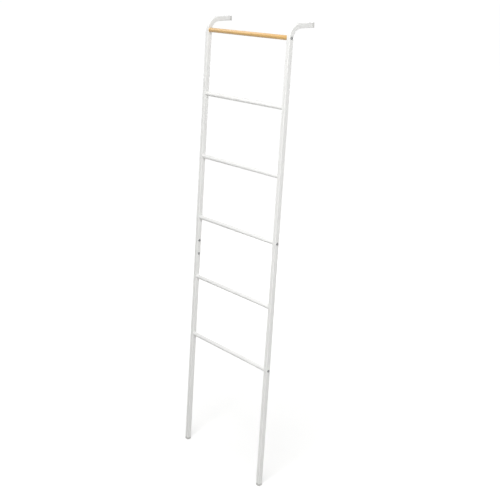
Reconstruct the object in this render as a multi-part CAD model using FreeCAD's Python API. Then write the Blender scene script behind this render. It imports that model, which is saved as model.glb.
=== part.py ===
import FreeCAD, Part
import math
import os

from FreeCAD import Rotation, Vector

# Towel ladder that leans against a wall, in millimetres.
# X runs across the ladder, Y towards the wall and Z up.
# The origin is on the floor, in the middle of the outline's width and depth.
# The pieces are made with the rails upright, their axes along Z from the floor.
# The whole is leaned at the end.

# Stance
LEAN_DEG = 4.45             # rails from upright
RAIL_SPACING = 450.0        # between the axes of the two rails

# Rails of square tube, bent back into level arms at the top
RAIL_SIDE = 16.0
RAIL_WALL = 1.0
RAIL_CORNER = 1.5           # outer radius of the tube's corners
RAIL_INNER_CORNER = 0.8     # inner radius of the tube's corners
RAIL_END_EDGE = 0.3         # rounding of the outer edge at each cut end
BEND_RADIUS = 40.0          # at the tube's axis
ARM_STRAIGHT = 47.5         # straight tube beyond the bend

# Rungs, counted from the top, and the wooden bar above them
RUNG_COUNT = 5
FIRST_RUNG = 432.5          # floor to the axis of the lowest rung, along the rail
RUNG_PITCH = 226.0
RUNG_DIAMETER = 15.0
RUNG_WALL = 1.0
BAR_RISE = 223.0            # top rung to the axis of the bar, along the rail
BAR_DIAMETER = 16.0
BAR_END_BEVEL = 0.6
SCREWED_RUNGS = ("rung_3", "rung_5")

# Joint at half height of each rail
RUNGS_BELOW_SEAM = 2        # the seam is midway between two rungs
SEAM_GAP = 0.3
JOINT_SCREW_OFFSET = 25.0   # seam to each joint screw
SLEEVE_PAST_SCREW = 25.0    # sleeve beyond each joint screw
SLEEVE_WALL = 1.5
SLEEVE_GAP = 0.15           # between the sleeve and the rail's bore

# Button-head screws with a hexagon socket
SCREW_DIAMETER = 5.0
HEAD_DIAMETER = 9.5
HEAD_HEIGHT = 2.75
HEAD_RIM = 0.5              # upright rim under the dome
HEAD_FLAT = 4.6             # diameter of the flat round the socket, on top of the dome
HEAD_BULGE = 0.4            # dome beyond a straight cone from rim to flat
SOCKET_ACROSS = 3.0
SOCKET_DEPTH = 1.7
SCREW_END_BEVEL = 0.5
SCREW_HOLE_GAP = 0.2        # round the shank in a rail's clearance hole
THREAD_GAP = 0.03           # round the shank in a threaded hole
SCREW_BITE = 10.0           # thread length in the end of a bar or rung
JOINT_SCREW_PAST = 2.5      # joint screw beyond the sleeve's wall

# Inserts and plugs in the ends of the bar and the rungs
INSERT_PAST_SCREW = 4.0
BAR_INSERT_DIAMETER = 8.0
FIT_GAP = 0.05              # round a piece pressed into a bore
PLUG_DEPTH = 14.0
SPIGOT_DIAMETER = 8.0
SPIGOT_PAST_WALL = 6.0
SPIGOT_GAP = 0.15

# Caps on the arms and feet: a collar flush with the tube's outside and a hollow stem whose ribs grip its bore
CAP_COLLAR = 8.0
CAP_EDGE = 1.2              # rounding of the collar's free end
CAP_STEM_GAP = 1.0          # between the stem and the bore
CAP_STEM_WALL = 1.5
CAP_RIB_COUNT = 4
CAP_RIB_PITCH = 4.5
CAP_RIB = 1.2               # thickness of a rib
CAP_RIB_GAP = 0.1           # between a rib and the bore

# Worked out from the above
LEAN = math.radians(LEAN_DEG)
BEND_TURN = math.pi / 2 - LEAN
TANGENT = BEND_RADIUS * math.tan(BEND_TURN / 2)
BAR_HEIGHT = FIRST_RUNG + (RUNG_COUNT - 1) * RUNG_PITCH + BAR_RISE
BEND_START = BAR_HEIGHT
SEAM_HEIGHT = FIRST_RUNG + RUNGS_BELOW_SEAM * RUNG_PITCH - RUNG_PITCH / 2
RAIL_BORE = RAIL_SIDE - 2 * RAIL_WALL
RUNG_BORE = RUNG_DIAMETER - 2 * RUNG_WALL
CLEAR_WIDTH = RAIL_SPACING - RAIL_SIDE
SLEEVE_SIDE = RAIL_BORE - 2 * SLEEVE_GAP
SLEEVE_HALF = JOINT_SCREW_OFFSET + SLEEVE_PAST_SCREW
JOINT_SCREW_LENGTH = RAIL_WALL + SLEEVE_GAP + SLEEVE_WALL + JOINT_SCREW_PAST
RUNG_SCREW_LENGTH = RAIL_SIDE + SCREW_BITE
INSERT_LENGTH = SCREW_BITE + INSERT_PAST_SCREW
ARM_REACH = TANGENT + ARM_STRAIGHT + CAP_COLLAR
ARM_HEIGHT = (BEND_START + TANGENT) * math.cos(LEAN)
WALL_Y = (BEND_START + TANGENT) * math.sin(LEAN) + ARM_REACH
FRONT_Y = -RAIL_SIDE / 2 / math.cos(LEAN)
MIDDLE_Y = (WALL_Y + FRONT_Y) / 2

SIDES = {"left": -1, "right": 1}
ACROSS = Vector(1, 0, 0)
UP = Vector(0, 0, 1)


def rounded_square(side, corner):
    """Outline of a square with round corners, flat on XY and centred on the origin."""
    reach = side / 2
    flat = reach - corner
    bow = flat + corner * math.cos(math.pi / 4)
    edges = []
    for quarter in range(4):
        turn = Rotation(UP, 90 * quarter)
        start, corner_start, middle, corner_end = [
            turn.multVec(Vector(x, y, 0))
            for x, y in ((reach, -flat), (reach, flat), (bow, bow), (flat, reach))
        ]
        edges.append(Part.makeLine(start, corner_start))
        edges.append(Part.Arc(corner_start, middle, corner_end).toShape())
    return Part.Wire(edges)


def tube_section(side, corner, bore, bore_corner):
    """Flat section of a square tube."""
    outlines = [rounded_square(side, corner), rounded_square(bore, bore_corner)]
    return Part.makeFace(outlines, "Part::FaceMakerBullseye")


def rail_section():
    """Flat section of a rail."""
    return tube_section(RAIL_SIDE, RAIL_CORNER, RAIL_BORE, RAIL_INNER_CORNER)


def moved(shape, x=0.0, y=0.0, z=0.0):
    """Copy of a shape, shifted."""
    return shape.translated(Vector(x, y, z))


def pointed(shape, direction):
    """Copy of a shape whose +Z is turned to a direction."""
    copy = shape.copy()
    copy.Placement = FreeCAD.Placement(Vector(), Rotation(UP, direction)).multiply(copy.Placement)
    return copy


def rod(diameter, length):
    """Round rod from the origin along +Z."""
    return Part.makeCylinder(diameter / 2, length)


def side_hole(diameter, height, depth, side):
    """Cutter into a rail's inner face, square to it."""
    return moved(pointed(rod(diameter, depth), ACROSS * side), side * CLEAR_WIDTH / 2, 0, height)


def button_screw(length):
    """Screw with its seat on z = 0, its head above and its shank below."""
    seat_middle = Vector(0, 0, 0)
    seat_edge = Vector(HEAD_DIAMETER / 2, 0, 0)
    dome_start = Vector(HEAD_DIAMETER / 2, 0, HEAD_RIM)
    dome_end = Vector(HEAD_FLAT / 2, 0, HEAD_HEIGHT)
    top_middle = Vector(0, 0, HEAD_HEIGHT)
    slope = dome_end - dome_start
    outwards = Vector(slope.z, 0, -slope.x).normalize()
    dome_middle = (dome_start + dome_end) / 2 + outwards * HEAD_BULGE
    edges = [
        Part.makeLine(seat_middle, seat_edge),
        Part.makeLine(seat_edge, dome_start),
        Part.Arc(dome_start, dome_middle, dome_end).toShape(),
        Part.makeLine(dome_end, top_middle),
        Part.makeLine(top_middle, seat_middle),
    ]
    head = Part.Face(Part.Wire(edges)).revolve(Vector(), UP, 360)
    socket_radius = SOCKET_ACROSS / math.sqrt(3)
    corners = [Vector(socket_radius, 0, 0)]
    for sixth in range(1, 7):
        corners.append(Rotation(UP, 60 * sixth).multVec(corners[0]))
    socket = Part.Face(Part.makePolygon(corners)).extrude(UP * SOCKET_DEPTH)
    shank = moved(rod(SCREW_DIAMETER, length - SCREW_END_BEVEL), z=-(length - SCREW_END_BEVEL))
    point = moved(
        Part.makeCone(SCREW_DIAMETER / 2 - SCREW_END_BEVEL, SCREW_DIAMETER / 2, SCREW_END_BEVEL), z=-length
    )
    whole = head.fuse([shank, point]).removeSplitter()
    return whole.cut(moved(socket, z=HEAD_HEIGHT - SOCKET_DEPTH))


def end_face(shape, middle):
    """Face of a shape whose middle is nearest to a point."""
    return min(shape.Faces, key=lambda face: face.CenterOfMass.distanceToPoint(middle))


def rounded_ends(tube, middles):
    """Tube with the outer edges of its cut ends rounded, the ends given by their middles."""
    edges = []
    for middle in middles:
        edges.extend(end_face(tube, middle).OuterWire.Edges)
    return tube.makeFillet(RAIL_END_EDGE, edges)


def arm_end():
    """Middle of the cut end of an arm, on the rail's own axis plane."""
    reach = BEND_RADIUS * (1 - math.cos(BEND_TURN)) + ARM_STRAIGHT * math.cos(LEAN)
    rise = BEND_RADIUS * math.sin(BEND_TURN) + ARM_STRAIGHT * math.sin(LEAN)
    return Vector(0, reach, BEND_START + rise)


def upper_rail(side, crossings):
    """Rail from the seam to the end of the arm, with the holes for the bars that cross it."""
    section = rail_section()
    bottom = SEAM_HEIGHT + SEAM_GAP / 2
    straight = moved(section, z=bottom).extrude(UP * (BEND_START - bottom))
    at_bend = moved(section, z=BEND_START)
    pivot = Vector(0, BEND_RADIUS, BEND_START)
    turn_deg = math.degrees(BEND_TURN)
    bend = at_bend.revolve(pivot, -ACROSS, turn_deg)
    at_arm = at_bend.copy()
    at_arm.rotate(pivot, -ACROSS, turn_deg)
    arm = at_arm.extrude(Vector(0, math.cos(LEAN), math.sin(LEAN)) * ARM_STRAIGHT)
    rail = rounded_ends(straight.fuse([bend, arm]).removeSplitter(), [Vector(0, 0, bottom), arm_end()])
    return drilled_rail(rail, side, crossings, SEAM_HEIGHT + JOINT_SCREW_OFFSET)


def lower_rail(side, crossings):
    """Rail from the foot cap to the seam, with the holes for the bars that cross it."""
    top = SEAM_HEIGHT - SEAM_GAP / 2
    tube = moved(rail_section(), z=CAP_COLLAR).extrude(UP * (top - CAP_COLLAR))
    rail = rounded_ends(tube, [Vector(0, 0, CAP_COLLAR), Vector(0, 0, top)])
    return drilled_rail(rail, side, crossings, SEAM_HEIGHT - JOINT_SCREW_OFFSET)


def drilled_rail(rail, side, crossings, joint_screw_height):
    """Rail shifted to its side, with a hole for its joint screw and one for each bar that meets it."""
    screw_hole = SCREW_DIAMETER + 2 * SCREW_HOLE_GAP
    cutters = [side_hole(screw_hole, joint_screw_height, RAIL_SIDE / 2, side)]
    for height, is_screwed in crossings:
        if is_screwed:
            cutters.append(side_hole(screw_hole, height, RAIL_SIDE, side))
        else:
            cutters.append(side_hole(SPIGOT_DIAMETER + 2 * SPIGOT_GAP, height, RAIL_SIDE / 2, side))
    return moved(rail, side * RAIL_SPACING / 2).cut(cutters)


def joint_sleeve(side):
    """Square tube inside a rail, across the seam, threaded for the joint screws."""
    bore = SLEEVE_SIDE - 2 * SLEEVE_WALL
    section = tube_section(SLEEVE_SIDE, RAIL_INNER_CORNER, bore, RAIL_INNER_CORNER)
    tube = moved(section, side * RAIL_SPACING / 2, 0, SEAM_HEIGHT - SLEEVE_HALF).extrude(UP * 2 * SLEEVE_HALF)
    threads = [
        side_hole(SCREW_DIAMETER + 2 * THREAD_GAP, SEAM_HEIGHT + offset, RAIL_SIDE / 2, side)
        for offset in (-JOINT_SCREW_OFFSET, JOINT_SCREW_OFFSET)
    ]
    return tube.cut(threads)


def joint_screws(side):
    """Two screws on a rail's inner face, above and below the seam."""
    screw = pointed(button_screw(JOINT_SCREW_LENGTH), ACROSS * -side)
    inner_face = side * CLEAR_WIDTH / 2
    heights = (SEAM_HEIGHT - JOINT_SCREW_OFFSET, SEAM_HEIGHT + JOINT_SCREW_OFFSET)
    return Part.makeCompound([moved(screw, inner_face, 0, height) for height in heights])


def both_ends(piece, distance, height):
    """A piece at each end of a bar, its +Z pointing outwards and its origin at a distance from the middle."""
    return Part.makeCompound(
        [moved(pointed(piece, ACROSS * side), side * distance, 0, height) for side in SIDES.values()]
    )


def end_screws(height):
    """Screws through both rails into the ends of a bar or rung."""
    return both_ends(button_screw(RUNG_SCREW_LENGTH), (RAIL_SPACING + RAIL_SIDE) / 2, height)


def end_inserts(diameter, height):
    """Threaded inserts in both ends of a bar or rung, flush with its ends."""
    body = rod(diameter - 2 * FIT_GAP, INSERT_LENGTH)
    thread = rod(SCREW_DIAMETER + 2 * THREAD_GAP, INSERT_LENGTH)
    return both_ends(moved(body.cut(thread), z=-INSERT_LENGTH), CLEAR_WIDTH / 2, height)


def end_plugs(height):
    """Plugs in both ends of a rung, with spigots that sit in the rails."""
    body = moved(rod(RUNG_BORE - 2 * FIT_GAP, PLUG_DEPTH), z=-PLUG_DEPTH)
    spigot = rod(SPIGOT_DIAMETER, RAIL_WALL + SPIGOT_PAST_WALL)
    return both_ends(body.fuse(spigot).removeSplitter(), CLEAR_WIDTH / 2, height)


def rung(height):
    """Round tube between the rails."""
    tube = rod(RUNG_DIAMETER, CLEAR_WIDTH).cut(rod(RUNG_BORE, CLEAR_WIDTH))
    return moved(pointed(tube, ACROSS), -CLEAR_WIDTH / 2, 0, height)


def top_bar():
    """Wooden bar between the rails, bevelled and bored at both ends."""
    core = BAR_DIAMETER / 2 - BAR_END_BEVEL
    bevel = Part.makeCone(core, BAR_DIAMETER / 2, BAR_END_BEVEL)
    far_bevel = moved(Part.makeCone(BAR_DIAMETER / 2, core, BAR_END_BEVEL), z=CLEAR_WIDTH - BAR_END_BEVEL)
    middle = moved(rod(BAR_DIAMETER, CLEAR_WIDTH - 2 * BAR_END_BEVEL), z=BAR_END_BEVEL)
    bore = rod(BAR_INSERT_DIAMETER, INSERT_LENGTH)
    bar = middle.fuse([bevel, far_bevel]).removeSplitter()
    bar = bar.cut([bore, moved(bore, z=CLEAR_WIDTH - INSERT_LENGTH)])
    return moved(pointed(bar, ACROSS), -CLEAR_WIDTH / 2, 0, BAR_HEIGHT)


def cap_collar(sole_tilt_deg):
    """Collar under z = 0 that carries on the tube's outside, its free end tilted about X and rounded."""
    collar = Part.Face(rounded_square(RAIL_SIDE, RAIL_CORNER)).extrude(-UP * (CAP_COLLAR + RAIL_SIDE))
    reach = 2 * RAIL_SIDE
    below = Part.makeBox(2 * reach, 2 * reach, 2 * reach, Vector(-reach, -reach, -2 * reach))
    below.rotate(Vector(), ACROSS, sole_tilt_deg)
    collar = collar.cut(moved(below, z=-CAP_COLLAR))
    collar = collar.makeFillet(CAP_EDGE, end_face(collar, Vector(0, 0, -CAP_COLLAR)).Edges)
    return collar.makeFillet(RAIL_END_EDGE, end_face(collar, Vector()).Edges)


def tube_cap(sole_tilt_deg):
    """Cap for a tube end on z = 0: a hollow ribbed stem above it and a collar below."""
    stem_side = RAIL_BORE - 2 * CAP_STEM_GAP
    stem_bore = stem_side - 2 * CAP_STEM_WALL
    length = CAP_RIB_COUNT * CAP_RIB_PITCH
    rib_side = RAIL_BORE - 2 * CAP_RIB_GAP
    stem = tube_section(stem_side, RAIL_INNER_CORNER, stem_bore, RAIL_INNER_CORNER).extrude(UP * length)
    rib = tube_section(rib_side, RAIL_INNER_CORNER, stem_bore, RAIL_INNER_CORNER).extrude(UP * CAP_RIB)
    ribs = [moved(rib, z=number * CAP_RIB_PITCH - CAP_RIB) for number in range(1, CAP_RIB_COUNT + 1)]
    return cap_collar(sole_tilt_deg).fuse([stem, *ribs]).removeSplitter()


def foot_cap(side):
    """Cap in the foot of a rail, its sole level when the ladder leans."""
    return moved(tube_cap(LEAN_DEG), side * RAIL_SPACING / 2, 0, CAP_COLLAR)


def arm_cap(side):
    """Cap in the end of an arm, its end flat to the wall."""
    cap = pointed(tube_cap(0.0), Vector(0, -math.cos(LEAN), -math.sin(LEAN)))
    end = arm_end()
    return moved(cap, side * RAIL_SPACING / 2, end.y, end.z)


def build():
    """All pieces by name, with the rails upright."""
    nodes = {}
    crossings = [(BAR_HEIGHT, True)]
    for number in range(1, RUNG_COUNT + 1):
        name = f"rung_{number}"
        height = FIRST_RUNG + (RUNG_COUNT - number) * RUNG_PITCH
        is_screwed = name in SCREWED_RUNGS
        crossings.append((height, is_screwed))
        nodes[name] = rung(height)
        if is_screwed:
            nodes[f"{name}_inserts"] = end_inserts(RUNG_BORE, height)
            nodes[f"{name}_screws"] = end_screws(height)
        else:
            nodes[f"{name}_plugs"] = end_plugs(height)
    nodes["top_bar"] = top_bar()
    nodes["bar_inserts"] = end_inserts(BAR_INSERT_DIAMETER, BAR_HEIGHT)
    nodes["bar_screws"] = end_screws(BAR_HEIGHT)
    above = [crossing for crossing in crossings if crossing[0] > SEAM_HEIGHT]
    below = [crossing for crossing in crossings if crossing[0] < SEAM_HEIGHT]
    for word, side in SIDES.items():
        nodes[f"upper_rail_{word}"] = upper_rail(side, above)
        nodes[f"lower_rail_{word}"] = lower_rail(side, below)
        nodes[f"joint_sleeve_{word}"] = joint_sleeve(side)
        nodes[f"joint_screws_{word}"] = joint_screws(side)
        nodes[f"foot_cap_{word}"] = foot_cap(side)
        nodes[f"arm_cap_{word}"] = arm_cap(side)
    return nodes


def leaned(shape):
    """Copy of a shape, leaned towards the wall with its feet on the floor."""
    copy = shape.copy()
    copy.rotate(Vector(), ACROSS, -LEAN_DEG)
    return moved(copy, y=-MIDDLE_Y)


os.makedirs("parts", exist_ok=True)
for node, piece in build().items():
    leaned(piece).exportStep(f"parts/{node}.step")
height = ARM_HEIGHT + RAIL_SIDE / 2
width = RAIL_SPACING + RAIL_SIDE
print(f"height {height:.1f}, width {width:.1f}, depth {WALL_Y - FRONT_Y:.1f}")
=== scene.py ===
"""Looks of a towel ladder that leans against a wall, in metres.

The rails, the caps and the hidden pieces keep their CAD shape and get a finish. The rungs, the wooden bar
and the screws are turned again as finer meshes. A pale studio and a camera complete the scene.
"""
from __future__ import annotations

import logging
import math
from collections.abc import Iterator, Mapping, Sequence
from dataclasses import dataclass, field
from enum import Enum

import bmesh
import bpy
from mathutils import Matrix, Vector


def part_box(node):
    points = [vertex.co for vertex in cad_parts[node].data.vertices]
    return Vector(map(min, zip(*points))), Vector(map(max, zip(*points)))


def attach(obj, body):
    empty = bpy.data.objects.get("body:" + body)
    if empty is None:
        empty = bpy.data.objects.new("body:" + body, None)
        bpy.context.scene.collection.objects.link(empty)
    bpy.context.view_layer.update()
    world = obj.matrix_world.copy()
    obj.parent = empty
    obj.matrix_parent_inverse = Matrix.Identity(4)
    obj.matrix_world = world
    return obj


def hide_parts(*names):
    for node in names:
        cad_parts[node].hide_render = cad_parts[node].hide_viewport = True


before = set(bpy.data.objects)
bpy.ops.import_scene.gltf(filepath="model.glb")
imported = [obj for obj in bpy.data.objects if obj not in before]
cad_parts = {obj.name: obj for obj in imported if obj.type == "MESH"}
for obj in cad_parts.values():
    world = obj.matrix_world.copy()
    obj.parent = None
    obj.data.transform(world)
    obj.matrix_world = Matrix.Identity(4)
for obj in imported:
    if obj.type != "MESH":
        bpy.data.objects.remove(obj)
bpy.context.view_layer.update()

MM = 0.001
ACROSS = Vector((1, 0, 0))
BODY = "root"
RUNG_COUNT = 5
LOG = logging.getLogger("towel_ladder")

# Sockets of Blender's Mix node when it mixes colours
MIX_FACTOR = 0
MIX_A = 6
MIX_B = 7
MIX_RESULT = 2

# Length of one wave of Blender's Wave texture at a scale of 1
WAVE_LENGTH = 2 * math.pi / 20

# Edges of a turned piece that turn by more than this stay sharp
SHARP_DEG = 35.0


class Side(Enum):
    """The two sides of the ladder, seen from the front, by their direction along X."""

    LEFT = -1
    RIGHT = 1

    @property
    def word(self) -> str:
        """The side as it stands in a piece's name."""
        return self.name.lower()


class Outline(Enum):
    """Outline of one ring of a turned piece, seen along its axis."""

    ROUND = "round"
    HEXAGON = "hexagon"
    THREAD = "thread"


class End(Enum):
    """The two ends of a turned piece, by the direction in degrees in which an eased edge starts there."""

    LOWER = -90
    UPPER = 0


def linear(hex_colour: str) -> tuple[float, float, float, float]:
    """Turn an sRGB hex colour into linear light.

    Args:
        hex_colour: colour such as "#F0F0EE".

    Returns:
        Linear red, green and blue, and an alpha of 1.
    """
    channels = [int(hex_colour[start:start + 2], 16) / 255 for start in (1, 3, 5)]
    red, green, blue = [c / 12.92 if c <= 0.04045 else ((c + 0.055) / 1.055) ** 2.4 for c in channels]
    return red, green, blue, 1.0


def per_metre(size_mm: float) -> float:
    """Scale of a noise pattern whose blotches are of a size in millimetres."""
    return 1 / (size_mm * MM)


def wave_scale(spacing_mm: float) -> float:
    """Scale of a wave pattern whose lines are a spacing in millimetres apart."""
    return WAVE_LENGTH / (spacing_mm * MM)


def add_node(
    tree: bpy.types.NodeTree,
    kind: str,
    inputs: Mapping[str | int, object],
    **settings: object,
) -> bpy.types.Node:
    """Add a node with its settings and links.

    Args:
        tree: node tree that gets the node.
        kind: Blender's name for the kind of node.
        inputs: value to set on, or output to link to, each input.
        settings: attributes of the node, such as its operation.

    Returns:
        The new node.
    """
    node = tree.nodes.new(kind)
    for name, value in settings.items():
        setattr(node, name, value)
    for socket, value in inputs.items():
        if isinstance(value, bpy.types.NodeSocket):
            tree.links.new(value, node.inputs[socket])
        else:
            node.inputs[socket].default_value = value
    return node


class Finish:
    """Surface finish of a piece, in the piece's own coordinates."""

    name: str

    def shade(self, tree: bpy.types.NodeTree, place: bpy.types.NodeSocket) -> bpy.types.Node:
        """Add the nodes of the finish.

        Args:
            tree: node tree of the material.
            place: the piece's own coordinates.

        Returns:
            The shader node.
        """
        raise NotImplementedError

    def material(self) -> bpy.types.Material:
        """Make the finish's material on its first use, and find it again later.

        Returns:
            The material.
        """
        found = bpy.data.materials.get(self.name)
        if found:
            return found
        material = bpy.data.materials.new(self.name)
        material.use_nodes = True
        tree = material.node_tree
        tree.nodes.clear()
        place = add_node(tree, "ShaderNodeTexCoord", {}).outputs["Object"]
        shader = self.shade(tree, place)
        add_node(tree, "ShaderNodeOutputMaterial", {"Surface": shader.outputs[0]})
        return material


@dataclass(frozen=True)
class PowderCoat(Finish):
    """White polyester powder coat, sprayed on steel tube and baked."""

    name: str = "white_polyester_powder_coat"
    full_hex: str = "#F0F0EE"
    thin_hex: str = "#EBEBE9"
    film_mm: float = 60.0
    film_octaves: float = 3.0
    peel_mm: float = 2.6
    peel_octaves: float = 1.5
    peel_depth_mm: float = 0.05
    speck_mm: float = 0.9
    speck_octaves: float = 1.0
    smooth: float = 0.42
    rough: float = 0.54
    ior: float = 1.5

    def shade(self, tree: bpy.types.NodeTree, place: bpy.types.NodeSocket) -> bpy.types.Node:
        """Add the nodes of the powder coat.

        Args:
            tree: node tree of the material.
            place: the piece's own coordinates.

        Returns:
            The shader node.
        """
        # The baked film flows out to a faint orange peel, so highlights are soft and broad. Where the
        # film is thinner it is a touch greyer. The peel's grain is really 1 to 2 mm wide and about
        # 0.02 mm deep, and is drawn a little coarser and deeper, to show.
        film = add_node(
            tree,
            "ShaderNodeTexNoise",
            {"Vector": place, "Scale": per_metre(self.film_mm), "Detail": self.film_octaves},
        )
        speck = add_node(
            tree,
            "ShaderNodeTexNoise",
            {"Vector": place, "Scale": per_metre(self.speck_mm), "Detail": self.speck_octaves},
        )
        peel = add_node(
            tree,
            "ShaderNodeTexNoise",
            {"Vector": place, "Scale": per_metre(self.peel_mm), "Detail": self.peel_octaves},
        )
        colour = add_node(
            tree,
            "ShaderNodeMix",
            {
                MIX_FACTOR: film.outputs["Fac"],
                MIX_A: linear(self.thin_hex),
                MIX_B: linear(self.full_hex),
            },
            data_type="RGBA",
        )
        roughness = add_node(
            tree,
            "ShaderNodeMapRange",
            {"Value": speck.outputs["Fac"], "To Min": self.smooth, "To Max": self.rough},
        )
        bump = add_node(
            tree,
            "ShaderNodeBump",
            {"Height": peel.outputs["Fac"], "Distance": self.peel_depth_mm * MM},
        )
        return add_node(
            tree,
            "ShaderNodeBsdfPrincipled",
            {
                "Base Color": colour.outputs[MIX_RESULT],
                "Roughness": roughness.outputs["Result"],
                "IOR": self.ior,
                "Normal": bump.outputs["Normal"],
            },
        )


@dataclass(frozen=True)
class LacqueredBeech(Finish):
    """Beech, turned to a rod along Z, stained honey and sprayed with clear satin lacquer."""

    name: str = "honey_beech_clear_lacquer"
    early_hex: str = "#D6AC67"
    late_hex: str = "#C99C56"
    fleck_hex: str = "#A2763B"
    ring_mm: float = 4.5
    ring_stretch: float = 25.0
    ring_wobble: float = 3.5
    ring_wobble_scale: float = 1.2
    ring_octaves: float = 2.0
    pith_mm: float = 38.0
    fibre_mm: float = 1.1
    fibre_stretch: float = 40.0
    fibre_octaves: float = 3.0
    fibre_depth_mm: float = 0.02
    fleck_mm: float = 0.6
    fleck_stretch: float = 7.0
    fleck_octaves: float = 0.0
    fleck_start: float = 0.62
    fleck_full: float = 0.74
    fleck_share: float = 0.4
    smooth: float = 0.34
    rough: float = 0.48
    bare_gloss: float = 0.1
    lacquer: float = 0.8
    lacquer_ior: float = 1.5
    lacquer_roughness: float = 0.28

    def shade(self, tree: bpy.types.NodeTree, place: bpy.types.NodeSocket) -> bpy.types.Node:
        """Add the nodes of the wood and its lacquer.

        Args:
            tree: node tree of the material.
            place: the piece's own coordinates.

        Returns:
            The shader node.
        """
        # Pale growth rings run along the rod in long, slightly wavy lines, with fine fibres and short dark
        # flecks between them, under a soft gloss. Rings, fibres and flecks are drawn about twice as coarse
        # as they are, to show.
        pith = self.pith_mm * MM
        trunk = add_node(
            tree,
            "ShaderNodeMapping",
            {"Vector": place, "Location": (pith, pith, 0), "Scale": (1, 1, 1 / self.ring_stretch)},
        )
        rings = add_node(
            tree,
            "ShaderNodeTexWave",
            {
                "Vector": trunk.outputs["Vector"],
                "Scale": wave_scale(self.ring_mm),
                "Distortion": self.ring_wobble,
                "Detail": self.ring_octaves,
                "Detail Scale": self.ring_wobble_scale,
            },
            wave_type="RINGS",
            rings_direction="Z",
        )
        along_fibre = add_node(
            tree,
            "ShaderNodeMapping",
            {"Vector": place, "Scale": (1, 1, 1 / self.fibre_stretch)},
        )
        fibre = add_node(
            tree,
            "ShaderNodeTexNoise",
            {
                "Vector": along_fibre.outputs["Vector"],
                "Scale": per_metre(self.fibre_mm),
                "Detail": self.fibre_octaves,
            },
        )
        along_fleck = add_node(
            tree,
            "ShaderNodeMapping",
            {"Vector": place, "Scale": (1, 1, 1 / self.fleck_stretch)},
        )
        fleck = add_node(
            tree,
            "ShaderNodeTexNoise",
            {
                "Vector": along_fleck.outputs["Vector"],
                "Scale": per_metre(self.fleck_mm),
                "Detail": self.fleck_octaves,
            },
        )
        fleck_mask = add_node(
            tree,
            "ShaderNodeMapRange",
            {
                "Value": fleck.outputs["Fac"],
                "From Min": self.fleck_start,
                "From Max": self.fleck_full,
                "To Max": self.fleck_share,
            },
        )
        grain = add_node(
            tree,
            "ShaderNodeMath",
            {0: rings.outputs["Fac"], 1: fibre.outputs["Fac"]},
            operation="MULTIPLY",
        )
        wood = add_node(
            tree,
            "ShaderNodeMix",
            {
                MIX_FACTOR: grain.outputs[0],
                MIX_A: linear(self.early_hex),
                MIX_B: linear(self.late_hex),
            },
            data_type="RGBA",
        )
        colour = add_node(
            tree,
            "ShaderNodeMix",
            {
                MIX_FACTOR: fleck_mask.outputs["Result"],
                MIX_A: wood.outputs[MIX_RESULT],
                MIX_B: linear(self.fleck_hex),
            },
            data_type="RGBA",
        )
        roughness = add_node(
            tree,
            "ShaderNodeMapRange",
            {"Value": fibre.outputs["Fac"], "To Min": self.smooth, "To Max": self.rough},
        )
        bump = add_node(
            tree,
            "ShaderNodeBump",
            {"Height": fibre.outputs["Fac"], "Distance": self.fibre_depth_mm * MM},
        )
        return add_node(
            tree,
            "ShaderNodeBsdfPrincipled",
            {
                "Base Color": colour.outputs[MIX_RESULT],
                "Roughness": roughness.outputs["Result"],
                "Specular IOR Level": self.bare_gloss,
                "Coat Weight": self.lacquer,
                "Coat IOR": self.lacquer_ior,
                "Coat Roughness": self.lacquer_roughness,
                "Normal": bump.outputs["Normal"],
            },
        )


@dataclass(frozen=True)
class TurnedZinc(Finish):
    """Carbon steel, headed and turned about Z, with zinc plating that has dulled a little."""

    name: str = "zinc_plated_steel"
    blue_hex: str = "#7F8286"
    warm_hex: str = "#888783"
    tint_mm: float = 2.5
    tint_octaves: float = 2.0
    turning_mm: float = 0.35
    turning_wobble: float = 0.6
    turning_octaves: float = 1.0
    turning_depth_mm: float = 0.006
    smooth: float = 0.24
    rough: float = 0.38

    def shade(self, tree: bpy.types.NodeTree, place: bpy.types.NodeSocket) -> bpy.types.Node:
        """Add the nodes of the plated steel.

        Args:
            tree: node tree of the material.
            place: the piece's own coordinates.

        Returns:
            The shader node.
        """
        # Mid-grey metal with a faint blue and straw tint from the plating, and rings left by the turning
        # tool. The rings are really about 0.1 mm apart and are drawn coarser, to show.
        tint = add_node(
            tree,
            "ShaderNodeTexNoise",
            {"Vector": place, "Scale": per_metre(self.tint_mm), "Detail": self.tint_octaves},
        )
        turning = add_node(
            tree,
            "ShaderNodeTexWave",
            {
                "Vector": place,
                "Scale": wave_scale(self.turning_mm),
                "Distortion": self.turning_wobble,
                "Detail": self.turning_octaves,
            },
            wave_type="RINGS",
            rings_direction="Z",
        )
        colour = add_node(
            tree,
            "ShaderNodeMix",
            {
                MIX_FACTOR: tint.outputs["Fac"],
                MIX_A: linear(self.blue_hex),
                MIX_B: linear(self.warm_hex),
            },
            data_type="RGBA",
        )
        roughness = add_node(
            tree,
            "ShaderNodeMapRange",
            {"Value": tint.outputs["Fac"], "To Min": self.smooth, "To Max": self.rough},
        )
        bump = add_node(
            tree,
            "ShaderNodeBump",
            {"Height": turning.outputs["Fac"], "Distance": self.turning_depth_mm * MM},
        )
        return add_node(
            tree,
            "ShaderNodeBsdfPrincipled",
            {
                "Base Color": colour.outputs[MIX_RESULT],
                "Metallic": 1.0,
                "Roughness": roughness.outputs["Result"],
                "Normal": bump.outputs["Normal"],
            },
        )


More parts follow.
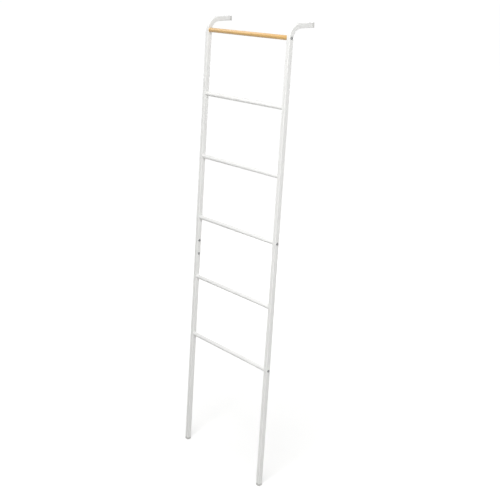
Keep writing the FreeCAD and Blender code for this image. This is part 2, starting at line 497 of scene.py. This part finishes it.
@dataclass(frozen=True)
class DrawnSteel(Finish):
    """Plain steel, cold drawn, as it lies inside the tubes."""

    name: str = "cold_drawn_steel"
    bright_hex: str = "#A4A5A6"
    dull_hex: str = "#85868A"
    streak_mm: float = 0.8
    streak_stretch: float = 30.0
    streak_octaves: float = 3.0
    streak_depth_mm: float = 0.01
    smooth: float = 0.32
    rough: float = 0.5

    def shade(self, tree: bpy.types.NodeTree, place: bpy.types.NodeSocket) -> bpy.types.Node:
        """Add the nodes of the drawn steel.

        Args:
            tree: node tree of the material.
            place: the piece's own coordinates.

        Returns:
            The shader node.
        """
        # Drawing through a die leaves long streaks, duller and brighter by turns. They are really about
        # 0.2 mm wide and are drawn coarser, to show.
        along = add_node(
            tree,
            "ShaderNodeMapping",
            {"Vector": place, "Scale": (1, 1, 1 / self.streak_stretch)},
        )
        streak = add_node(
            tree,
            "ShaderNodeTexNoise",
            {
                "Vector": along.outputs["Vector"],
                "Scale": per_metre(self.streak_mm),
                "Detail": self.streak_octaves,
            },
        )
        colour = add_node(
            tree,
            "ShaderNodeMix",
            {
                MIX_FACTOR: streak.outputs["Fac"],
                MIX_A: linear(self.dull_hex),
                MIX_B: linear(self.bright_hex),
            },
            data_type="RGBA",
        )
        roughness = add_node(
            tree,
            "ShaderNodeMapRange",
            {"Value": streak.outputs["Fac"], "To Min": self.rough, "To Max": self.smooth},
        )
        bump = add_node(
            tree,
            "ShaderNodeBump",
            {"Height": streak.outputs["Fac"], "Distance": self.streak_depth_mm * MM},
        )
        return add_node(
            tree,
            "ShaderNodeBsdfPrincipled",
            {
                "Base Color": colour.outputs[MIX_RESULT],
                "Metallic": 1.0,
                "Roughness": roughness.outputs["Result"],
                "Normal": bump.outputs["Normal"],
            },
        )


@dataclass(frozen=True)
class MouldedPlastic(Finish):
    """Plastic, injection moulded in a spark-eroded tool."""

    name: str
    light_hex: str
    dark_hex: str
    ior: float
    flow_mm: float = 7.0
    flow_octaves: float = 2.0
    texture_mm: float = 0.7
    texture_octaves: float = 2.0
    texture_depth_mm: float = 0.025
    smooth: float = 0.5
    rough: float = 0.64

    def shade(self, tree: bpy.types.NodeTree, place: bpy.types.NodeSocket) -> bpy.types.Node:
        """Add the nodes of the plastic.

        Args:
            tree: node tree of the material.
            place: the piece's own coordinates.

        Returns:
            The shader node.
        """
        # The tool leaves an even, fine matt texture, and the melt leaves faint clouds where it flowed.
        # The texture is really about 0.1 mm and is drawn coarser, to show.
        flow = add_node(
            tree,
            "ShaderNodeTexNoise",
            {"Vector": place, "Scale": per_metre(self.flow_mm), "Detail": self.flow_octaves},
        )
        texture = add_node(
            tree,
            "ShaderNodeTexNoise",
            {"Vector": place, "Scale": per_metre(self.texture_mm), "Detail": self.texture_octaves},
        )
        colour = add_node(
            tree,
            "ShaderNodeMix",
            {
                MIX_FACTOR: flow.outputs["Fac"],
                MIX_A: linear(self.dark_hex),
                MIX_B: linear(self.light_hex),
            },
            data_type="RGBA",
        )
        roughness = add_node(
            tree,
            "ShaderNodeMapRange",
            {"Value": texture.outputs["Fac"], "To Min": self.smooth, "To Max": self.rough},
        )
        bump = add_node(
            tree,
            "ShaderNodeBump",
            {"Height": texture.outputs["Fac"], "Distance": self.texture_depth_mm * MM},
        )
        return add_node(
            tree,
            "ShaderNodeBsdfPrincipled",
            {
                "Base Color": colour.outputs[MIX_RESULT],
                "Roughness": roughness.outputs["Result"],
                "IOR": self.ior,
                "Normal": bump.outputs["Normal"],
            },
        )


SOFT_CAP = MouldedPlastic("soft_grey_elastomer", light_hex="#D6D6D3", dark_hex="#CDCDCA", ior=1.5)
NYLON = MouldedPlastic("natural_white_nylon", light_hex="#E8E5DB", dark_hex="#DFDCD1", ior=1.53)


@dataclass(frozen=True)
class Ring:
    """One ring of points about a turned piece's axis, which is Z."""

    height: float
    radius: float
    outline: Outline = Outline.ROUND
    thread_depth: float = 0.0
    thread_pitch: float = 1.0

    def reach(self, angle: float) -> float:
        """Distance of the ring from the axis.

        Args:
            angle: direction about the axis, in radians.

        Returns:
            The radius, to the corner or flat of a hexagon or the flank of a thread at that angle.
        """
        if self.outline is Outline.HEXAGON:
            return self.radius / math.cos(angle % (math.pi / 3) - math.pi / 6)
        if self.outline is Outline.THREAD:
            turn = (self.height / self.thread_pitch - angle / (2 * math.pi)) % 1
            return self.radius - self.thread_depth * abs(2 * turn - 1)
        return self.radius


def eased(height: float, radius: float, ease: float, end: End) -> Iterator[Ring]:
    """Rings of a quarter round at the outer edge of a turned piece's end.

    Args:
        height: of the quarter round's centre.
        radius: of the quarter round's centre, from the axis.
        ease: radius of the quarter round.
        end: of the piece that the quarter round is at.

    Yields:
        The rings in order of height.
    """
    steps = 4
    for step in range(steps + 1):
        angle = math.radians(end.value + 90 * step / steps)
        yield Ring(height + ease * math.sin(angle), radius + ease * math.cos(angle))


def turned_mesh(
    name: str,
    rings: Sequence[Ring],
    segments: int,
    is_tube: bool = False,
) -> bpy.types.Mesh:
    """Turn rings about the Z axis into a closed mesh.

    Args:
        name: of the mesh.
        rings: in order along the piece's outline; a ring of no radius is one point.
        segments: points in each ring.
        is_tube: whether the last ring joins the first.

    Returns:
        The mesh, smooth, with sharp edges where its outline turns.
    """
    shape = bmesh.new()
    angles = [2 * math.pi * number / segments for number in range(segments)]
    loops = []
    for ring in rings:
        if ring.radius == 0:
            loops.append([shape.verts.new((0, 0, ring.height))] * segments)
            continue
        loop = []
        for angle in angles:
            reach = ring.reach(angle)
            loop.append(shape.verts.new((reach * math.cos(angle), reach * math.sin(angle), ring.height)))
        loops.append(loop)
    pairs = list(zip(loops, loops[1:]))
    if is_tube:
        pairs.append((loops[-1], loops[0]))
    for low, high in pairs:
        for number in range(segments):
            following = (number + 1) % segments
            corners = (low[number], low[following], high[following], high[number])
            # Beside a ring that is one point, two corners are the same and the face is a triangle
            shape.faces.new(list(dict.fromkeys(corners)))
    bmesh.ops.recalc_face_normals(shape, faces=shape.faces)
    mesh = bpy.data.meshes.new(name)
    shape.to_mesh(mesh)
    shape.free()
    mesh.shade_smooth()
    mesh.set_sharp_from_angle(angle=math.radians(SHARP_DEG))
    return mesh


def middle(node: str) -> Vector:
    """Middle of a CAD node's box."""
    low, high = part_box(node)
    return (low + high) / 2


def extent(node: str) -> Vector:
    """Size of a CAD node's box along each axis."""
    low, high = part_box(node)
    return high - low


def pointing(direction: Vector, at: Vector, turn: float = 0.0) -> Matrix:
    """Place of a piece whose Z axis points in a direction.

    Args:
        direction: for the piece's Z axis.
        at: where the piece's origin goes.
        turn: of the piece about its own axis first, in radians.

    Returns:
        The matrix of the place.
    """
    rotation = direction.to_track_quat("Z", "Y").to_matrix().to_4x4()
    return Matrix.Translation(at) @ rotation @ Matrix.Rotation(turn, 4, "Z")


@dataclass
class SubAssembly:
    """Pieces of the ladder that are made and dressed together."""

    finish: Finish
    pieces: list[bpy.types.Object] = field(default_factory=list, init=False)

    def build(self) -> None:
        """Make the pieces, or take them from the frame."""
        raise NotImplementedError

    def dress(self) -> None:
        """Give each piece its finish."""
        for piece in self.pieces:
            if not piece.material_slots:
                piece.data.materials.append(None)
            for slot in piece.material_slots:
                slot.material = self.finish.material()


@dataclass
class CadPieces(SubAssembly):
    """Pieces whose CAD shape is shown as it is, such as the rails with their bends and holes."""

    nodes: Sequence[str]

    def build(self) -> None:
        """Take the pieces from the frame."""
        self.pieces.extend(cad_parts[node] for node in self.nodes)


@dataclass
class TurnedPieces(SubAssembly):
    """Round pieces that are turned as finer meshes and stand for CAD nodes."""

    slot: str

    def add(self, mesh: bpy.types.Mesh, node: str, place: Matrix) -> None:
        """Add a piece that stands for a CAD node.

        Args:
            mesh: of the piece, in its own coordinates.
            node: the CAD node, or the group that the piece is one of.
            place: of the piece in the frame.
        """
        piece = bpy.data.objects.new(mesh.name, mesh)
        bpy.context.scene.collection.objects.link(piece)
        piece.matrix_world = place
        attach(piece, BODY)
        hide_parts(node)
        self.pieces.append(piece)


@dataclass
class Rungs(TurnedPieces):
    """Round steel tubes between the rails."""

    nodes: Sequence[str]
    wall: float = 1.0 * MM
    ease: float = 0.3 * MM
    segments: int = 72

    def build(self) -> None:
        """Make each rung as a tube with eased ends."""
        for node in self.nodes:
            size = extent(node)
            radius = size.z / 2
            bore = radius - self.wall
            rings = [Ring(0, bore)]
            rings.extend(eased(self.ease, radius - self.ease, self.ease, End.LOWER))
            rings.extend(eased(size.x - self.ease, radius - self.ease, self.ease, End.UPPER))
            rings.append(Ring(size.x, bore))
            mesh = turned_mesh(f"{node}_tube", rings, self.segments, is_tube=True)
            self.add(mesh, node, pointing(ACROSS, middle(node) - ACROSS * size.x / 2))


@dataclass
class TopBar(TurnedPieces):
    """Wooden bar between the tops of the rails, bored at both ends for its inserts."""

    node: str = "top_bar"
    ease: float = 0.6 * MM
    bore_diameter: float = 8.0 * MM
    bore_depth: float = 14.0 * MM
    segments: int = 96

    def build(self) -> None:
        """Make the bar as a turned rod with eased ends."""
        size = extent(self.node)
        radius = size.z / 2
        bore = self.bore_diameter / 2
        rings = [Ring(self.bore_depth, 0), Ring(self.bore_depth, bore), Ring(0, bore)]
        rings.extend(eased(self.ease, radius - self.ease, self.ease, End.LOWER))
        rings.extend(eased(size.x - self.ease, radius - self.ease, self.ease, End.UPPER))
        far = size.x - self.bore_depth
        rings.extend([Ring(size.x, bore), Ring(far, bore), Ring(far, 0)])
        mesh = turned_mesh("top_bar_rod", rings, self.segments)
        self.add(mesh, self.node, pointing(ACROSS, middle(self.node) - ACROSS * size.x / 2))


@dataclass
class ButtonScrews(TurnedPieces):
    """Button-head screws with a hexagon socket, seated on the rails."""

    end_nodes: Sequence[str]
    joint_nodes: Mapping[Side, str]
    rail: str = "lower_rail_right"
    diameter: float = 5.0 * MM
    pitch: float = 0.8 * MM
    thread_depth: float = 0.45 * MM
    bite: float = 10.0 * MM
    rim: float = 0.5 * MM
    rim_ease: float = 0.15 * MM
    flat: float = 4.6 * MM
    bulge: float = 0.4 * MM
    socket_across: float = 3.0 * MM
    socket_mouth: float = 3.9 * MM
    socket_lead: float = 0.3 * MM
    socket_depth: float = 1.7 * MM
    drill_point: float = 0.5 * MM
    tip_bevel: float = 0.5 * MM
    rings_per_pitch: int = 6
    dome_steps: int = 10
    segments: int = 48

    def build(self) -> None:
        """Make the screws in the ends of the bars, and those of the rails' joints."""
        rail_low, rail_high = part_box(self.rail)
        head_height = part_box(self.end_nodes[0])[1].x - rail_high.x
        head_diameter = extent(self.end_nodes[0]).z
        end_length = rail_high.x - rail_low.x + self.bite
        rings = self.rings(head_diameter, head_height, end_length)
        # Each screw stops at a turn of its own, worked out from its height
        for node in self.end_nodes:
            for side in Side:
                seat = middle(node)
                seat.x = side.value * rail_high.x
                mesh = turned_mesh(f"{node}_{side.word}", rings, self.segments)
                self.add(mesh, node, pointing(ACROSS * side.value, seat, turn=seat.z))
        for side, node in self.joint_nodes.items():
            low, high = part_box(node)
            inset = Vector((0, head_diameter / 2, head_diameter / 2))
            rings = self.rings(head_diameter, head_height, high.x - low.x - head_height)
            for word, seat in (("lower", low + inset), ("upper", high - inset)):
                seat.x = side.value * rail_low.x
                mesh = turned_mesh(f"{node}_{word}", rings, self.segments)
                self.add(mesh, node, pointing(ACROSS * -side.value, seat, turn=seat.z))

    def rings(self, head_diameter: float, head_height: float, length: float) -> list[Ring]:
        """Rings of a screw, from its tip to the bottom of its socket.

        Args:
            head_diameter: across the head.
            head_height: from its seat, which is at height 0, to the top.
            length: of the shank under the head.

        Returns:
            The rings in order.
        """
        rings = [Ring(-length, 0), *self.shank(length)]
        head = head_diameter / 2
        rings.append(Ring(0, self.diameter / 2))
        rings.extend(eased(self.rim_ease, head - self.rim_ease, self.rim_ease, End.LOWER))
        rings.extend(self.dome(head, head_height))
        socket = self.socket_across / 2
        rings.append(Ring(head_height, self.socket_mouth / 2))
        rings.append(Ring(head_height - self.socket_lead, socket, Outline.HEXAGON))
        rings.append(Ring(head_height - self.socket_depth, socket, Outline.HEXAGON))
        rings.append(Ring(head_height - self.socket_depth - self.drill_point, 0))
        return rings

    def shank(self, length: float) -> Iterator[Ring]:
        """Rings of the thread, shallow at both ends.

        Args:
            length: of the shank.

        Yields:
            The rings from the tip to the head.
        """
        steps = round(length / self.pitch * self.rings_per_pitch)
        crest = self.diameter / 2
        for step in range(steps + 1):
            height = -length + length * step / steps
            from_tip = min(1.0, (height + length) / self.tip_bevel)
            run_out = max(0.0, min(1.0, (height + length) / self.pitch, -height / self.pitch))
            radius = crest - self.tip_bevel * (1 - from_tip)
            yield Ring(height, radius, Outline.THREAD, self.thread_depth * run_out, self.pitch)

    def dome(self, head: float, head_height: float) -> Iterator[Ring]:
        """Rings over the head's dome, which stands out from a cone as a parabola.

        Args:
            head: radius of the head.
            head_height: from its seat to the top.

        Yields:
            The rings from the rim to the flat round the socket.
        """
        start = Vector((head, self.rim))
        end = Vector((self.flat / 2, head_height))
        outwards = Vector((end.y - start.y, start.x - end.x)).normalized()
        for step in range(self.dome_steps + 1):
            share = step / self.dome_steps
            point = start.lerp(end, share) + outwards * self.bulge * 4 * share * (1 - share)
            yield Ring(point.y, point.x)


@dataclass(frozen=True)
class Lamp:
    """Large, soft, square lamp, in metres and watts."""

    name: str
    at: tuple[float, float, float]
    size: float
    power: float
    aim: tuple[float, float, float] = (0.0, 0.0, 0.8)

    def build(self) -> None:
        """Hang the lamp, out of sight, and point it at the ladder."""
        data = bpy.data.lights.new(self.name, "AREA")
        data.size = self.size
        data.energy = self.power
        lamp = bpy.data.objects.new(self.name, data)
        lamp.visible_camera = False
        bpy.context.scene.collection.objects.link(lamp)
        at = Vector(self.at)
        lamp.matrix_world = pointing(at - Vector(self.aim), at)


@dataclass(frozen=True)
class Studio:
    """Pale floor, even sky and soft lamps."""

    # The key is high in front and gives most of the light. The fill lights the rails' right sides, the
    # left lamp the left rail and the sheen lamp the tops of the bars. The back lamp keeps the back from
    # looking grey.
    lamps: Sequence[Lamp] = (
        Lamp("key_lamp", at=(1.5, -2.0, 4.0), size=1.5, power=110.0),
        Lamp("fill_lamp", at=(2.4, -1.2, 1.5), size=1.2, power=25.0),
        Lamp("left_lamp", at=(-1.9, -0.8, 2.65), size=1.2, power=14.0),
        Lamp("sheen_lamp", at=(-1.8, 0.3, 3.05), size=0.7, power=4.0),
        Lamp("back_lamp", at=(-1.7, 2.5, 1.4), size=1.5, power=31.0),
    )
    sky_hex: str = "#FFFFFF"
    sky_light: float = 0.17
    sky_seen: float = 1.0
    floor_reach: float = 80.0
    floor_hex: str = "#CACAC9"
    near: float = 0.0
    near_glow: float = 0.46
    far: float = 4.0
    far_glow: float = 0.92

    def build(self) -> None:
        """Make the floor, the sky and the lamps."""
        self.floor()
        self.backdrop()
        for lamp in self.lamps:
            lamp.build()

    def background_rays(self, tree: bpy.types.NodeTree) -> bpy.types.NodeSocket:
        """Pick the rays that show the background to the eye, straight, mirrored or through glass.

        Args:
            tree: node tree of the floor or the sky.

        Returns:
            An output that is 1 for such rays, and 0 for those that light the ladder.
        """
        ray = add_node(tree, "ShaderNodeLightPath", {}).outputs
        mirrored = add_node(
            tree,
            "ShaderNodeMath",
            {0: ray["Is Glossy Ray"], 1: ray["Is Transmission Ray"]},
            operation="MAXIMUM",
        )
        seen = add_node(
            tree,
            "ShaderNodeMath",
            {0: ray["Is Camera Ray"], 1: mirrored.outputs[0]},
            operation="MAXIMUM",
        )
        return seen.outputs[0]

    def floor(self) -> None:
        """Make a wide flat floor under the ladder."""
        reach = self.floor_reach
        mesh = bpy.data.meshes.new("studio_floor")
        corners = [(-reach, -reach, 0), (reach, -reach, 0), (reach, reach, 0), (-reach, reach, 0)]
        mesh.from_pydata(corners, [], [(0, 1, 2, 3)])
        mesh.materials.append(self.floor_paint())
        floor = bpy.data.objects.new("studio_floor", mesh)
        bpy.context.scene.collection.objects.link(floor)

    def floor_paint(self) -> bpy.types.Material:
        """Make a pale, matt paint that looks white and keeps the ladder's shadow.

        Returns:
            The floor's material.
        """
        material = bpy.data.materials.new("pale_studio_floor")
        material.use_nodes = True
        tree = material.node_tree
        tree.nodes.clear()
        paint = add_node(tree, "ShaderNodeBsdfDiffuse", {"Color": linear(self.floor_hex)})
        # The glow grows away from the ladder, where the lamps' light thins out, so the floor stays white.
        place = add_node(tree, "ShaderNodeTexCoord", {}).outputs["Object"]
        away = add_node(tree, "ShaderNodeVectorMath", {0: place}, operation="LENGTH")
        glow = add_node(
            tree,
            "ShaderNodeMapRange",
            {
                "Value": away.outputs["Value"],
                "From Min": self.near,
                "From Max": self.far,
                "To Min": self.near_glow,
                "To Max": self.far_glow,
            },
        )
        strength = add_node(
            tree,
            "ShaderNodeMath",
            {0: self.background_rays(tree), 1: glow.outputs["Result"]},
            operation="MULTIPLY",
        )
        white = add_node(tree, "ShaderNodeEmission", {"Strength": strength.outputs[0]})
        both = add_node(tree, "ShaderNodeAddShader", {0: paint.outputs[0], 1: white.outputs[0]})
        add_node(tree, "ShaderNodeOutputMaterial", {"Surface": both.outputs[0]})
        return material

    def backdrop(self) -> None:
        """Make an even sky that looks white, also in reflections."""
        world = bpy.data.worlds.new("studio_sky")
        bpy.context.scene.world = world
        world.use_nodes = True
        tree = world.node_tree
        tree.nodes.clear()
        strength = add_node(
            tree,
            "ShaderNodeMapRange",
            {"Value": self.background_rays(tree), "To Min": self.sky_light, "To Max": self.sky_seen},
        )
        sky = add_node(
            tree,
            "ShaderNodeBackground",
            {"Color": linear(self.sky_hex), "Strength": strength.outputs["Result"]},
        )
        add_node(tree, "ShaderNodeOutputWorld", {"Surface": sky.outputs[0]})


@dataclass(frozen=True)
class PhotoCamera:
    """Camera at the photograph's viewing angle, for a square image."""

    aim: tuple[float, float, float] = (0.0552, -0.0142, 0.8153)
    azimuth_deg: float = 52.716
    elevation_deg: float = 16.503
    distance: float = 3.54
    lens_mm: float = 72.645
    sensor_mm: float = 36.0

    def build(self) -> None:
        """Make the camera and set it as the scene's own."""
        azimuth = math.radians(self.azimuth_deg)
        elevation = math.radians(self.elevation_deg)
        level = math.cos(elevation)
        backwards = Vector((math.sin(azimuth) * level, -math.cos(azimuth) * level, math.sin(elevation)))
        data = bpy.data.cameras.new("photo_camera")
        data.lens = self.lens_mm
        data.sensor_width = self.sensor_mm
        camera = bpy.data.objects.new("photo_camera", data)
        bpy.context.scene.collection.objects.link(camera)
        camera.matrix_world = pointing(backwards, Vector(self.aim) + backwards * self.distance)
        bpy.context.scene.camera = camera


def sub_assemblies() -> list[SubAssembly]:
    """List the ladder's sub-assemblies, with the CAD nodes of each.

    Returns:
        The sub-assemblies in the order in which they are made.
    """
    sides = [side.word for side in Side]
    rungs = [f"rung_{number}" for number in range(1, RUNG_COUNT + 1)]
    screwed_rungs = ["rung_3", "rung_5"]
    screwed_bars = ["bar", *screwed_rungs]
    rails = [f"{half}_rail_{side}" for half in ("upper", "lower") for side in sides]
    end_screws = [f"{bar}_screws" for bar in screwed_bars]
    joint_screws = {side: f"joint_screws_{side.word}" for side in Side}
    caps = [f"{end}_cap_{side}" for end in ("foot", "arm") for side in sides]
    sleeves = [f"joint_sleeve_{side}" for side in sides]
    inserts = [f"{bar}_inserts" for bar in screwed_bars]
    plugs = [f"{rung}_plugs" for rung in rungs if rung not in screwed_rungs]
    coat = PowderCoat()
    return [
        CadPieces(coat, rails),
        Rungs(coat, "white_powder_coat", rungs),
        TopBar(LacqueredBeech(), "lacquered_wood"),
        ButtonScrews(TurnedZinc(), "zinc_screws", end_screws, joint_screws),
        CadPieces(SOFT_CAP, caps),
        CadPieces(DrawnSteel(), sleeves + inserts),
        CadPieces(NYLON, plugs),
    ]


def main() -> None:
    """Make and dress the ladder's pieces, and set up the studio and the camera."""
    logging.basicConfig(level=logging.INFO, format="%(name)s: %(message)s")
    bpy.context.scene.view_settings.view_transform = "Standard"
    for assembly in sub_assemblies():
        assembly.build()
        assembly.dress()
        for piece in assembly.pieces:
            LOG.info("%s in %s, %d faces", piece.name, assembly.finish.name, len(piece.data.polygons))
    Studio().build()
    PhotoCamera().build()


if __name__ == "__main__":
    main()
